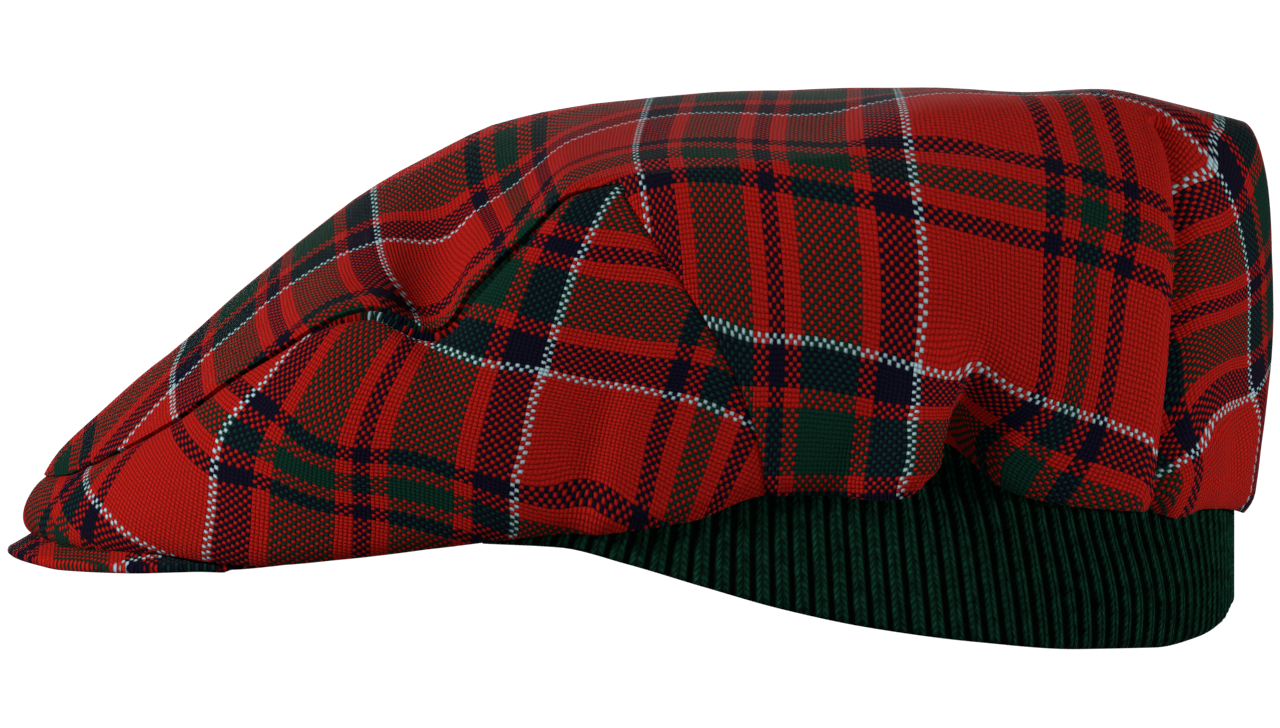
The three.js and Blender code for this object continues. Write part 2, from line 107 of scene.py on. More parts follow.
# The paper glows just enough to be white to the eye, and its light doesn't reach the cap.
FLOOR_DROP = 0.35
FLOOR_RADIUS = 14
SWEEP_RADIUS = 3
WALL_TOP = 16
SWEEP_STEPS = 12
ROUND_STEPS = 96
paper = bmesh.new()
profile = [paper.verts.new((0, 0, -FLOOR_DROP))]
for angle in np.linspace(0, math.pi / 2, SWEEP_STEPS + 1):
    reach, lift = SWEEP_RADIUS * math.sin(angle), SWEEP_RADIUS * (1 - math.cos(angle))
    profile.append(paper.verts.new((FLOOR_RADIUS + reach, 0, lift - FLOOR_DROP)))
profile.append(paper.verts.new((FLOOR_RADIUS + SWEEP_RADIUS, 0, WALL_TOP)))
profile_edges = [paper.edges.new(pair) for pair in zip(profile, profile[1:])]
bmesh.ops.spin(
    paper, geom=[*profile, *profile_edges], cent=(0, 0, 0), axis=(0, 0, 1), dvec=(0, 0, 0),
    angle=2 * math.pi, steps=ROUND_STEPS, use_merge=True,
)
bmesh.ops.remove_doubles(paper, verts=paper.verts, dist=1e-4)
bmesh.ops.recalc_face_normals(paper, faces=paper.faces)
sweep_mesh = bpy.data.meshes.new("paper_sweep")
paper.to_mesh(sweep_mesh)
sweep = bpy.data.objects.new("paper_sweep", sweep_mesh)
bpy.context.scene.collection.objects.link(sweep)
sweep_mesh.polygons.foreach_set("use_smooth", [True] * len(sweep_mesh.polygons))
for kind in ("diffuse", "glossy", "transmission", "shadow"):
    setattr(sweep, f"visible_{kind}", False)


def new_material(name):
    """A material, its node tree and its main shader."""
    made = bpy.data.materials.new(name)
    made.use_nodes = True
    return made, made.node_tree, made.node_tree.nodes["Principled BSDF"]


white_paper, _, paper_shader = new_material("white_paper")
paper_shader.inputs["Base Color"].default_value = (0.93, 0.93, 0.92, 1)
paper_shader.inputs["Roughness"].default_value = 0.9
paper_shader.inputs["Emission Color"].default_value = (1, 1, 1, 1)
paper_shader.inputs["Emission Strength"].default_value = 1
sweep_mesh.materials.append(white_paper)

# ---- crown ----
# Top, sides and back of the cap are one piece of wool tartan, blocked over a head and sewn with a dart at
# each back corner. It is sewn to the side panels in front and hangs over that seam, and its hem is turned in
# round the knitted band.


def table(columns, *rows):
    """Rows of numbers under named columns."""
    return np.array(list(rows), dtype=[(name, float) for name in columns.split()])


# All the cloth lies on one form, which is its outer face. The top is drawn from profiles that fan out from a
# hub on the centre line, and the walls fall from the edge of the top to the hem. y runs from front to back.
CLOTH = 1.8  # its thickness
HUB_Y = -10
CORNER_Y = -27  # where the seam of the side panel leaves the edge of the top
FOOT_Y = 4.4  # where it meets the hem
DART_Y = 91.3
DART_FOOT_Y = 91
# Plan outline of the rim: half of each is two quarter superellipses that meet at the widest place.
RIM = {"front": -157.6, "back": 113, "half": 85.5, "widest_y": -10, "front_power": 2.3, "back_power": 2.7}
# flat is how far the top is level across before it falls to its edge.
CENTRE_LINE = table(
    "y z flat",
    (-155.6, 6.2, 0), (-151.6, 11.8, 0), (-142.7, 20, 0), (-124.9, 34.9, 0), (-107.1, 50.7, 0),
    (-89.3, 64.7, 0), (-71.6, 75.8, 0), (-53.8, 83.8, 0), (-27, 88.9, 0), (0, 91.1, 0), (17, 91.6, 0),
    (32, 91.8, 0.5), (45, 91.6, 0.9), (60, 90.8, 1), (80, 91.6, 1), (97, 88, 1), (110.7, 84.4, 1),
)
TOP_EDGE = table(
    "y x z",
    (-155.6, 0, 6), (-150.5, 17, 6.4), (-144.3, 26, 9.1), (-137.6, 35, 12.4), (-126.4, 47, 18.6),
    (-115, 57, 27), (-103, 64.5, 34.6), (-88.4, 70, 42.4), (-80, 71, 43.8), (-68, 72, 39.4),
    (-59.6, 75.5, 48), (-46.9, 77, 61.6), (-38.2, 78.5, 70), (CORNER_Y, 79, 72.4), (0, 76, 75.5),
    (32, 72, 77.5), (60, 60, 79.5), (78, 49, 82), (DART_Y, 38, 85.4), (100, 30, 82.6), (107.5, 16, 83.6),
    (110.7, 0, 84.4),
)
HEM = table(
    "y z",
    (-157.6, -7.3), (-149, -9.8), (-132, -10.6), (-116, -12.7), (-107, -13.3), (-89, -11.8), (-54, -7.7),
    (-32, -6), (-11, -2.9), (FOOT_Y, 2.6), (27, 2.8), (34, 4), (38, 6.6), (41, 11), (44, 12.6), (47, 11),
    (51, 8), (56, 4.6), (62, 2.2), (72, 0.2), (DART_FOOT_Y, -1.6), (97, -2.9), (103, -0.9), (108, -1.2),
    (113, -2.8),
)
# The wall, by the y of its top: how far it swells past the top edge while it falls, and past the hem while it
# rises.
WALL = table(
    "y shoulder fall bulge rise",
    (-155.6, 3, 4, 4.5, 3), (-137.6, 5, 5, 5, 8), (-103, 8, 7, 6, 16), (-68, 10, 3, 8, 18),
    (CORNER_Y, 10, 8, 6, 30), (0, 14, 6, 6.5, 32), (60, 16, 10, 7, 36), (DART_Y, 14, 14, 6, 40),
    (110.7, 7.6, 1.4, 7.6, 46),
)
# Folds, seen from the side. Each is a valley from (y0, z0), where it fades in, to (y1, z1), and fades out
# over "past". ahead and behind are its half widths. A negative depth is a swelling.
FOLDS = table(
    "y0 z0 y1 z1 past ahead behind depth",
    (-62, 80, -69, 46, 10, 14, 9, 3),  # the top sags on the side panel
    (52.8, 42, 39.6, 12, 60, 16, 2.8, -8.5),  # the rim swells behind the ear
    (52.4, 34, 43, 12, 9, 3.4, 15, 8.5),  # and is gathered there
    (-24, 50, -34, 10, 60, 22, 7, 2.6),  # hollow in the side panel
    (110, 30, 109, 8, 60, 4, 4, 1.4),  # wave in the back
)


def read(rows, name, y):
    """One column of a table at these places along y, on a smooth curve that never overshoots the rows."""
    at, value = rows["y"], rows[name]
    slope = np.diff(value) / np.diff(at)
    before, after = slope[:-1], slope[1:]
    turning = before * after <= 0
    middle = np.where(turning, 0, 2 * before * after / np.where(turning, 1, before + after))
    tangent = np.concatenate([slope[:1], middle, slope[-1:]])
    y = np.clip(y, at[0], at[-1])
    i = np.clip(np.searchsorted(at, y, side="right") - 1, 0, len(at) - 2)
    step = at[i + 1] - at[i]
    s = (y - at[i]) / step
    ease = s * s * (3 - 2 * s)
    curl = step * s * (1 - s) * ((1 - s) * tangent[i] - s * tangent[i + 1])
    return value[i] * (1 - ease) + value[i + 1] * ease + curl


def smoothstep(t):
    t = np.clip(t, 0, 1)
    return t * t * (3 - 2 * t)


def unit(vectors):
    return vectors / np.maximum(np.linalg.norm(vectors, axis=-1, keepdims=True), 1e-9)


def quarter(outline, y):
    """The curve's power, and its reach from the widest place, in the quarter of an outline where y lies."""
    front = y < outline["widest_y"]
    power = np.where(front, outline["front_power"], outline["back_power"])
    return power, np.where(front, outline["front"], outline["back"]) - outline["widest_y"]


def half_width(outline, y):
    power, reach = quarter(outline, y)
    along = np.clip((y - outline["widest_y"]) / reach, 0, 1)
    return outline["half"] * (1 - along**power) ** (1 / power)


def rim_outward(rim):
    """Level direction square to the rim, outwards."""
    power, reach = quarter(RIM, rim[..., 1])
    across = np.abs(rim[..., 0] / RIM["half"]) ** (power - 1) / RIM["half"]
    along = np.abs((rim[..., 1] - RIM["widest_y"]) / reach) ** (power - 1) / reach
    return unit(np.stack([across, along, np.zeros_like(across)], -1))


# squared, because the top is round at the nose and at the back
TOP_WIDTH = table("y square", *zip(TOP_EDGE["y"], TOP_EDGE["x"] ** 2))


def edge_point(y):
    return np.stack([np.sqrt(np.maximum(read(TOP_WIDTH, "square", y), 0)), y, read(TOP_EDGE, "z", y)], -1)


def rim_point(y):
    return np.stack([half_width(RIM, y), y, read(HEM, "z", y)], -1)


def shares(count, crowding):
    """Steps from 0 to 1 that lie closer together at both ends."""
    even = np.linspace(0, 1, count + 1)
    return even - crowding * np.sin(2 * np.pi * even) / (2 * np.pi)


CURVE_SAMPLES = 801


def even_steps(point, y_start, y_end, count, crowding=0):
    """Splits a stretch of a curve into equal lengths, or into shorter ones towards its ends."""
    samples = 0.5 - 0.5 * np.cos(np.pi * np.linspace(0, 1, CURVE_SAMPLES))
    curve = point(y_start + (y_end - y_start) * samples)
    lengths = np.concatenate([[0], np.cumsum(np.linalg.norm(np.diff(curve, axis=0), axis=1))])
    targets = shares(count, crowding) * lengths[-1]
    return np.stack([np.interp(targets, lengths, curve[:, axis]) for axis in range(3)], -1)


def top_height(x, y):
    """The top falls from its centre line to its edge, all the way or, where flat is 1, only near its edge."""
    centre = read(CENTRE_LINE, "z", y)
    flat = read(CENTRE_LINE, "flat", y)
    out = np.clip(x / np.maximum(edge_point(y)[..., 0], 0.01), 0, 1)
    falls = (1 - flat) * 2 * out**2 / (1 + out) + flat * out**6
    return centre - (centre - read(TOP_EDGE, "z", y)) * falls


def fold_depth(y, z):
    """How far all the folds press the form in."""
    depth = np.zeros_like(y)
    for fold in FOLDS:
        run_y, run_z = fold["y1"] - fold["y0"], fold["z1"] - fold["z0"]
        length = math.hypot(run_y, run_z)
        along = ((y - fold["y0"]) * run_y + (z - fold["z0"]) * run_z) / length**2
        across = ((y - fold["y0"]) * run_z - (z - fold["z0"]) * run_y) / length
        reach = np.minimum(1, np.abs(across) / np.where(across < 0, fold["behind"], fold["ahead"]))
        left = 1 - (along - 1) * length / fold["past"]
        depth += fold["depth"] * smoothstep(along) * smoothstep(left) * (0.5 + 0.5 * np.cos(np.pi * reach))
    return depth


# Columns run round the left half of the form: nose to corner, corner to dart, dart to back. Rings run from
# the hub out to the edge of the top, and down the wall to the hem. Both lie closer together near a seam.
FRONT_COLUMNS = 96
SIDE_COLUMNS = 130
BACK_COLUMNS = 44
DART_COLUMN = FRONT_COLUMNS + SIDE_COLUMNS
TOP_RINGS = 36
RING_CROWDING = 1.5
WALL_RINGS = 56
SEAM_CROWDING = 0.55
SIDE_CROWDING = 0.2
DART_DEPTH = 1.2
DART_HALF_WIDTH = 5


def form_normals(places):
    down_column = np.gradient(places, axis=1)
    along_ring = np.gradient(places, axis=0)
    normals = np.cross(down_column, along_ring)
    normals[[0, -1], :, 0] = 0
    normals[:, 0] = (0, 0, 1)
    return unit(normals)


def make_form():
    """Places on the left half of the form, by column and ring."""
    stretches = [
        (FRONT_COLUMNS, SEAM_CROWDING, (TOP_EDGE["y"][0], CORNER_Y), (RIM["front"], FOOT_Y)),
        (SIDE_COLUMNS, SIDE_CROWDING, (CORNER_Y, DART_Y), (FOOT_Y, DART_FOOT_Y)),
        (BACK_COLUMNS, SEAM_CROWDING, (DART_Y, TOP_EDGE["y"][-1]), (DART_FOOT_Y, RIM["back"])),
    ]
    edges = [even_steps(edge_point, *edge, count, crowding)[1:] for count, crowding, edge, _ in stretches]
    rims = [even_steps(rim_point, *rim, count, crowding)[1:] for count, crowding, _, rim in stretches]
    edge = np.concatenate([edge_point(TOP_EDGE["y"][:1]), *edges])[:, None, :]
    rim = np.concatenate([rim_point(np.array([RIM["front"]])), *rims])[:, None, :]
    out = 1 - (1 - np.linspace(0, 1, TOP_RINGS + 1)) ** RING_CROWDING
    x, y = edge[..., 0] * out, HUB_Y + (edge[..., 1] - HUB_Y) * out
    top = np.stack([x, y, top_height(x, y)], -1)
    outward, up = rim_outward(rim), np.array([0, 0, 1])
    size = {name: read(WALL, name, edge[..., 1])[..., None] for name in ("shoulder", "fall", "bulge", "rise")}
    over = edge + outward * size["shoulder"] - up * size["fall"]
    under = rim + outward * size["bulge"] + up * size["rise"]
    t = shares(WALL_RINGS, SEAM_CROWDING)[1:, None]
    wall = (1 - t) ** 3 * edge + 3 * t * (1 - t) ** 2 * over + 3 * t**2 * (1 - t) * under + t**3 * rim
    places = np.concatenate([top, wall], axis=1)
    depth = fold_depth(places[..., 1], places[..., 2])
    dart = DART_DEPTH * smoothstep(1 - np.abs(places[..., 1] - places[DART_COLUMN, :, 1]) / DART_HALF_WIDTH)
    depth[:, TOP_RINGS:] += dart[:, TOP_RINGS:]
    folded = places - form_normals(places) * depth[..., None]
    folded[[0, -1], :, 0] = 0
    return folded


form = make_form()

# Where two pieces are sewn together the cloth rolls in to the seam, and at the hem it is turned under. Over
# the temple the crown hangs over the side panel, which is tucked in beneath it. By the y of the seam: how
# deep the roll is, how far the crown stands out, and how far the panel lies in.
SEAM = table(
    "y roll lip tuck",
    (-155, 0.5, 0.3, 0.3), (-120, 0.8, 0.6, 0.6), (-96, 1, 0.9, 0.7), (-84, 1.2, 1.7, 1.9),
    (-70, 1.2, 2, 2.2), (-58, 1.2, 1.7, 1.8), (-46, 1.2, 1.1, 1), (-34, 1.2, 0.5, 0.4),
    (CORNER_Y, 1.2, 0.2, 0), (FOOT_Y, 1.2, 0.1, 0),
)
SEAM_WIDTH = 4
LIP_WIDTH = 12
LAP = 1.2  # how far under the face of the crown the tucked edge of the panel lies
SEAM_RINGS = 3  # from there the panel runs on inside the crown, this many rings up,
ALLOWANCE_GAP = 0.3  # and ends this far from its inner face
HEM_ROLL = table("y roll", (-157.6, 0.2), (-140, 0.8), (-105, 1.7))
HEM_WIDTH = 5
DART_CREASE = 1.3
DART_STEP = 1.6  # how much lower the cloth lies behind the dart than before it
DART_STEP_WIDTH = 13
RIPPLES = ((24, 0.55), (9, 0.16))  # length and height of the unevenness of worn cloth


def step_lengths(places, axis):
    """Lengths along a grid, from its first row on."""
    steps = np.linalg.norm(np.diff(places, axis=axis), axis=-1)
    return np.concatenate([np.zeros_like(np.take(steps, [0], axis)), np.cumsum(steps, axis)], axis)


def nearest_on(line, places):
    """Distance from every place to a line of points, and which of them is nearest."""
    apart = np.linalg.norm(places[..., None, :] - line, axis=-1)
    return apart.min(-1), apart.argmin(-1)


def fading(distance, width):
    return np.clip(1 - distance / width, 0, 1) ** 2


def worn_relief(places):
    """How far the cloth sinks at the seams, the darts and the hem, and how it ripples between them."""
    seam = np.concatenate([places[: FRONT_COLUMNS + 1, TOP_RINGS], places[FRONT_COLUMNS, TOP_RINGS + 1 :]])
    distance, nearest = nearest_on(seam, places)
    roll, lip, tuck = (read(SEAM, name, seam[nearest, 1]) for name in ("roll", "lip", "tuck"))
    roll *= fading(distance, SEAM_WIDTH)
    overhang = fading(distance, LIP_WIDTH)
    crown_relief = roll - lip * overhang
    to_dart, _ = nearest_on(places[DART_COLUMN, TOP_RINGS:], places)
    crown_relief += DART_CREASE * fading(to_dart, SEAM_WIDTH)
    behind = to_dart[DART_COLUMN:, TOP_RINGS:]
    crown_relief[DART_COLUMN + 1 :, TOP_RINGS + 1 :] += (DART_STEP * fading(behind, DART_STEP_WIDTH))[1:, 1:]
    panel_relief = roll + tuck * overhang
    # the panel's edge comes up into the thickness of the crown, so that the seam is closed
    edge = slice(FRONT_COLUMNS + 1), TOP_RINGS
    panel_relief[edge] = (roll - lip + np.minimum(lip + tuck, LAP))[edge]
    from_hem = step_lengths(places[:, ::-1], 1)[:, ::-1]
    shared = read(HEM_ROLL, "roll", places[:, -1:, 1]) * fading(from_hem, HEM_WIDTH)
    for length, height in RIPPLES:
        ripple = [noise.noise(Vector(place) / length) for place in places.reshape(-1, 3)]
        shared += height * np.reshape(ripple, shared.shape)
    return crown_relief + shared, panel_relief + shared


def lay(places, relief):
    """Presses the cloth in by its relief."""
    laid = places - form_normals(places) * relief[..., None]
    laid[[0, -1], :, 0] = 0
    return laid


crown_relief, panel_relief = worn_relief(form)
crown_form = lay(form, crown_relief)
panel_form = lay(form, panel_relief)[: FRONT_COLUMNS + 1, TOP_RINGS:]
inside_crown = lay(form, crown_relief + CLOTH + ALLOWANCE_GAP)
seam_allowance = inside_crown[: FRONT_COLUMNS + 1, TOP_RINGS - SEAM_RINGS, None]
panel_form = np.concatenate([seam_allowance, panel_form], axis=1)

# The cloth is plain woven. Its threads are counted from the centre line outwards, and from the first white
# line across the front backwards. The sett is the run of colours that repeats both ways.
THREAD_ALONG = 0.9  # the width of a thread, counted along the cap
THREAD_ACROSS = 1.07  # and across it
SETT = [
    ("white", 2), ("red", 26), ("navy", 4), ("red", 4), ("green", 6), ("red", 4), ("navy", 4), ("red", 26),
    ("white", 2), ("navy", 8), ("red", 4), ("green", 14), ("red", 4), ("navy", 4), ("red", 4), ("green", 14),
    ("red", 4), ("navy", 8),
]
SETT_THREADS = sum(count for _, count in SETT)
SETT_MIDDLE = 8  # the stripes before this one are the first part of the sett, which is coloured in two parts
CENTRE_THREAD = 110  # the number of the thread on the centre line
CENTRE_SAMPLES = 600


def centre_length(y):
    """Length along the centre line of the top, from y = 0 back."""
    line_y = np.linspace(CENTRE_LINE["y"][0], CENTRE_LINE["y"][-1], CENTRE_SAMPLES)
    line = np.stack([line_y, read(CENTRE_LINE, "z", line_y)], -1)
    lengths = step_lengths(line[None], 1)[0]
    return np.interp(y, line_y, lengths - np.interp(0, line_y, lengths))


def flat_pattern():
    """How far along and across the crown each place is when it is laid flat, and again for its back."""
    top = form[:, : TOP_RINGS + 1]
    drop = read(CENTRE_LINE, "z", top[..., 1]) - top[..., 2]
    along = centre_length(form[..., 1])
    across = np.zeros_like(along)
    # the length of a shallow arc as wide as x and as high as the drop
    across[:, : TOP_RINGS + 1] = np.sqrt(top[..., 0] ** 2 + 4 / 3 * drop**2)
    wall = form[:, TOP_RINGS:]
    across[:, TOP_RINGS:] = across[:, TOP_RINGS, None] + step_lengths(wall[..., [0, 2]], 1)
    back = form[DART_COLUMN:, TOP_RINGS:]
    from_back = step_lengths(back[::-1], 0)[::-1]
    spread = from_back / np.maximum(from_back[:, :1], 1e-6)
    spread[-1] = spread[-2]
    back_along = along[DART_COLUMN:, TOP_RINGS, None] + step_lengths(back, 1)
    back_across = across[DART_COLUMN:, TOP_RINGS, None] * spread
    return np.stack([along, across], -1), np.stack([back_along, back_across], -1)


crown_flat, back_flat = flat_pattern()

# Threads that the eye can follow on the left side of the cap: the number of each, and places (y, z) on its
# way. Along threads are numbered from the centre line out and down, and across threads from the first white
# line over the front backwards.
CROWN_ALONG = {
    33: [(-136.4, 13.6), (-126, 25.1), (-119.1, 32.2), (-108.9, 41.1), (-100.4, 48.2), (-92, 53.8),
         (-83.3, 57.1), (-72.4, 57.8), (-61.8, 62.4), (-51.1, 70), (-40.4, 78.9), (-29.1, 83.3),
         (-14.9, 86), (7.3, 86), (19.1, 86.4), (28.2, 88.4), (84.4, 89.3)],
    62: [(-83, 46.8), (-70.3, 42.9), (-62, 51.8), (-55, 57), (-42.3, 72.3), (-22.7, 79.8), (7.3, 79.8),
         (37.1, 79.8), (49.8, 78.4), (68, 74.7), (86.2, 68.9)],
    80: [(-22.7, 71.6), (7.3, 71.1), (29.1, 67.1), (40.9, 64.2), (58.9, 59.8), (72.7, 56.2), (84, 52)],
    109: [(-11.8, 38.4), (0, 38), (13.6, 36.2), (25.3, 34.4), (38, 30.7), (46.2, 28.9), (51.8, 30.7),
          (57.1, 26.7), (64.4, 23.6), (72.7, 20.7), (81.6, 18), (87, 15.5)],
    119.5: [(51.8, 21.2), (61.3, 14.4), (70.3, 10.2), (82.2, 6.3)],
}
CROWN_ACROSS = {
    148: [(42, 19), (40, 11.5)],
    158: [(46, 22), (45, 14.5)],
    -65: [(-124.2, 34.2), (-125.6, 30.7), (-126, 25.6)],
    1: [(-81.8, 69.1), (-81.1, 62.9), (-80.2, 57.8), (-77.1, 50), (-73, 44.5)],
    77: [(-20.2, 89.3), (-22, 85.1), (-23.6, 79.1), (-23.1, 74.9)],
    143: [(34.4, 91.1), (36.2, 79.8), (37.6, 69.8), (39.1, 58.9), (39.1, 48), (38, 30.7), (36.7, 19.1),
          (34.4, 5.3)],
    172: [(64.4, 88), (68, 77.1), (68, 61.6), (67.1, 48), (64.9, 25.3), (61.3, 20.6), (51.8, 14.1)],
    181: [(67.9, 16.5), (59.6, 6.3)],
    190: [(79.8, 88.9), (84.4, 75.1), (85.3, 61.6), (82.4, 48), (78.4, 20.9), (75.9, 12.9), (69.1, 2.2)],
}
BACK_ALONG = {
    33: [(98, 81.6), (103.3, 75.1), (107.1, 68), (109.8, 58.9), (111.1, 50.7), (111.6, 38.9), (112, 25.3),
         (113.8, 16.2)],
    62: [(92.4, 34.2), (94.5, 25), (97.7, 14), (98.6, 2)],
    71: [(94, 3)],
}
BACK_ACROSS = {
    219: [(104.9, 86), (103.6, 80), (103.8, 74.9), (102.2, 72.4), (96.9, 70.9)],
    252: [(93.6, 40.7), (103, 43.7), (111.3, 47.1)],
    274: [(94.7, 19.3), (103.1, 28.9), (110.8, 31.8)],
    285: [(116.2, 27.8), (112.2, 23.3), (105.1, 20.4), (102.9, 18.7), (101.1, 13.6), (95.6, 9.1),
          (91.8, 6.7)],
}


PIN_NEIGHBOURS = 6
PIN_SOFTNESS = 0.05


def pins(lines, places, flat):
    """The flat pattern's place and the thread number of every listed place."""
    found = []
    for thread, line in lines.items():
        for y, z in line:
            away = ((places[..., 1] - y) ** 2 + (places[..., 2] - z) ** 2).ravel()
            nearest = np.argsort(away)[:PIN_NEIGHBOURS]
            weight = 1 / (away[nearest] + PIN_SOFTNESS)
            found.append((*(weight @ flat.reshape(-1, 2)[nearest] / weight.sum()), thread))
    return np.array(found, float)


PLATE_SCALE = 100  # brings the lengths near 1, which the sum needs
PLATE_SLACK = 2e-4  # how loosely the plate hangs on its pins


def thin_plate(pinned, places):
    """Bends a plate as smoothly as can be through the pins, and reads it at these places."""
    knots, values = pinned[:, :2] / PLATE_SCALE, pinned[:, 2]

    def bending(at):
        square = ((at[..., None, :] - knots) ** 2).sum(-1)
        return square * np.log(square + 1e-12)

    def tilt(at):
        return np.concatenate([np.ones_like(at[..., :1]), at], -1)

    count = len(knots)
    system = np.zeros((count + 3, count + 3))
    system[:count, :count] = bending(knots) + PLATE_SLACK * np.eye(count)
    system[:count, count:] = tilt(knots)
    system[count:, :count] = tilt(knots).T
    weights = np.linalg.solve(system, np.concatenate([values, np.zeros(3)]))
    at = places / PLATE_SCALE
    return bending(at) @ weights[:count] + tilt(at) @ weights[count:]


def mirror_pins(pinned, sign):
    """Adds the right side's pins, whose numbers run on past the centre line or, with sign 1, are the same."""
    return np.concatenate([pinned, pinned * (1, -1, sign)])


def crown_threads_at():
    """Thread numbers all over the crown, for its top and sides, and for its back."""
    # nothing is pinned to the wall of the form where it isn't the top's and sides' own cloth
    crown_places = form.copy()
    crown_places[:FRONT_COLUMNS, TOP_RINGS + 1 :] = np.inf
    crown_places[DART_COLUMN + 1 :, TOP_RINGS + 1 :] = np.inf
    back_places = form[DART_COLUMN:, TOP_RINGS:]
    threads = []
    for crown_lines, back_lines, sign in ((CROWN_ACROSS, BACK_ACROSS, 1), (CROWN_ALONG, BACK_ALONG, -1)):
        crown_pins = pins(crown_lines, crown_places, crown_flat)
        back_pins = pins(back_lines, back_places, back_flat)
        pinned = mirror_pins(np.concatenate([crown_pins, back_pins]), sign)
        threads.append([thin_plate(pinned, flat) for flat in (crown_flat, back_flat)])
    (crown_u, back_u), (crown_v, back_v) = threads
    return np.stack([crown_u, crown_v + CENTRE_THREAD], -1), np.stack([back_u, back_v + CENTRE_THREAD], -1)


crown_threads, back_threads = crown_threads_at()


def add_patch(sheet, places, threads, mirrored):
    """Adds a grid of cloth to a sheet, at these places and with these thread counts."""
    columns, rings = places.shape[:2]
    grid = bmesh.ops.create_grid(sheet, x_segments=columns - 1, y_segments=rings - 1, size=0.5)["verts"]
    uv = sheet.loops.layers.uv["threads"]
    side = -1 if mirrored else 1
    for vert in grid:
        i = round((vert.co.x + 0.5) * (columns - 1))
        j = round((vert.co.y + 0.5) * (rings - 1))
        x, y, z = places[i, j] * MM
        vert.co = side * x, y, z
        u, v = threads[i, j]
        for loop in vert.link_loops:
            loop[uv].uv = u, CENTRE_THREAD + side * (v - CENTRE_THREAD)
    if not mirrored:
        faces = {face for vert in grid for face in vert.link_faces}
        bmesh.ops.reverse_faces(sheet, faces=list(faces))


def new_sheet():
    sheet = bmesh.new()
    sheet.loops.layers.uv.new("threads")
    return sheet


def finish_piece(name, shape, *materials):
    """Merges what meets, and puts a mesh of the shape into the scene."""
    bmesh.ops.remove_doubles(shape, verts=shape.verts, dist=0.01 * MM)
    for face in shape.faces:
        face.smooth = True
    mesh = bpy.data.meshes.new(name)
    shape.to_mesh(mesh)
    shape.free()
    for material in materials:
        mesh.materials.append(material)
    piece = bpy.data.objects.new(name, mesh)
    bpy.context.scene.collection.objects.link(piece)
    return piece


# The colours of the dyed wool.
WOOL = {
    "red": (0.50, 0.010, 0.006),
    "navy": (0.004, 0.004, 0.016),
    "green": (0.002, 0.034, 0.021),
    "white": (0.44, 0.64, 0.70),
}


def feed(tree, value, socket):
    """Links a node's output to a socket, or sets the socket to a constant."""
    if isinstance(value, bpy.types.NodeSocket):
        tree.links.new(value, socket)
    else:
        socket.default_value = value


def node(tree, kind, **settings):
    made = tree.nodes.new(kind)
    for name, value in settings.items():
        setattr(made, name, value)
    return made


def maths(tree, operation, *values):
    made = node(tree, "ShaderNodeMath", operation=operation)
    for socket, value in zip(made.inputs, values):
        feed(tree, value, socket)
    return made.outputs[0]


def scaled(tree, value, gain, offset):
    return maths(tree, "MULTIPLY_ADD", value, gain, offset)


MIX_SOCKETS = {"FLOAT": (2, 3, 0), "RGBA": (6, 7, 2)}  # of the two values, and of the result


def mixed(tree, factor, start, end, data_type="RGBA", blend_type="MIX"):
    """The start where the factor is 0, and the end blended in where it is 1."""
    made = node(tree, "ShaderNodeMix", data_type=data_type, blend_type=blend_type)
    start_socket, end_socket, result = MIX_SOCKETS[data_type]
    feed(tree, factor, made.inputs[0])
    feed(tree, start, made.inputs[start_socket])
    feed(tree, end, made.inputs[end_socket])
    return made.outputs[result]


def noise_texture(tree, place, scale, detail):
    made = node(tree, "ShaderNodeTexNoise")
    made.inputs["Scale"].default_value = scale
    made.inputs["Detail"].default_value = detail
    feed(tree, place, made.inputs["Vector"])
    return made


def off_middle(tree, count):
    """0 halfway between two whole numbers, 1 at each of them."""
    return maths(tree, "ABSOLUTE", scaled(tree, maths(tree, "FRACT", count), 2, -1))


def finish_wool(tree, wool, height, relief, strength, roughness, specular, sheen, tint):
    """Raises the surface by height times the relief, and gives it the dull sheen of wool."""
    bump = node(tree, "ShaderNodeBump")
    bump.inputs["Distance"].default_value = relief
    bump.inputs["Strength"].default_value = strength
    feed(tree, height, bump.inputs["Height"])
    feed(tree, bump.outputs[0], wool.inputs["Normal"])
    wool.inputs["Roughness"].default_value = roughness
    wool.inputs["Specular IOR Level"].default_value = specular
    wool.inputs["Sheen Weight"].default_value = sheen
    wool.inputs["Sheen Roughness"].default_value = 0.5
    wool.inputs["Sheen Tint"].default_value = (*tint, 1)


def thread_ramp(tree, threads, place):
    """Colours of a run of threads, evenly spread over places from 0 to 1."""
    ramp = node(tree, "ShaderNodeValToRGB")
    ramp.color_ramp.interpolation = "CONSTANT"
    stops = ramp.color_ramp.elements
    stops.remove(stops[1])
    total = sum(count for _, count in threads)
    counted = 0
    for colour, count in threads:
        stop = stops.new(counted / total) if counted else stops[0]
        stop.color = (*WOOL[colour], 1)
        counted += count
    feed(tree, place, ramp.inputs["Fac"])
    return ramp.outputs["Color"]


def sett_colour(tree, thread):
    """Colour of the thread of a number. One ramp is too coarse for the whole sett, so each part has one."""
    first, second = SETT[:SETT_MIDDLE], SETT[SETT_MIDDLE:]
    count = sum(count for _, count in first)
    number = maths(tree, "FLOORED_MODULO", maths(tree, "ADD", thread, 0.5), SETT_THREADS)
    in_first = thread_ramp(tree, first, maths(tree, "DIVIDE", number, count))
    left = maths(tree, "DIVIDE", maths(tree, "SUBTRACT", number, count), SETT_THREADS - count)
    in_second = thread_ramp(tree, second, left)
    return mixed(tree, maths(tree, "GREATER_THAN", number, count), in_first, in_second)


# The weave seen close by.
WANDER = 0.5  # how far a thread strays from its line, in threads
THREAD_FLATNESS = 2.5  # 2 is round, and more is flatter
DIP = 0.55  # how far a thread goes down at its ends, where its middle is 1 high
FADE = 0.9  # how far its colour gives way there to the darker of the two, partly the crossing thread's colour and partly painted shade of the dip
FIBRE_HEIGHT = 0.35  # beside a thread's 1
WEAVE_RELIEF = 0.35


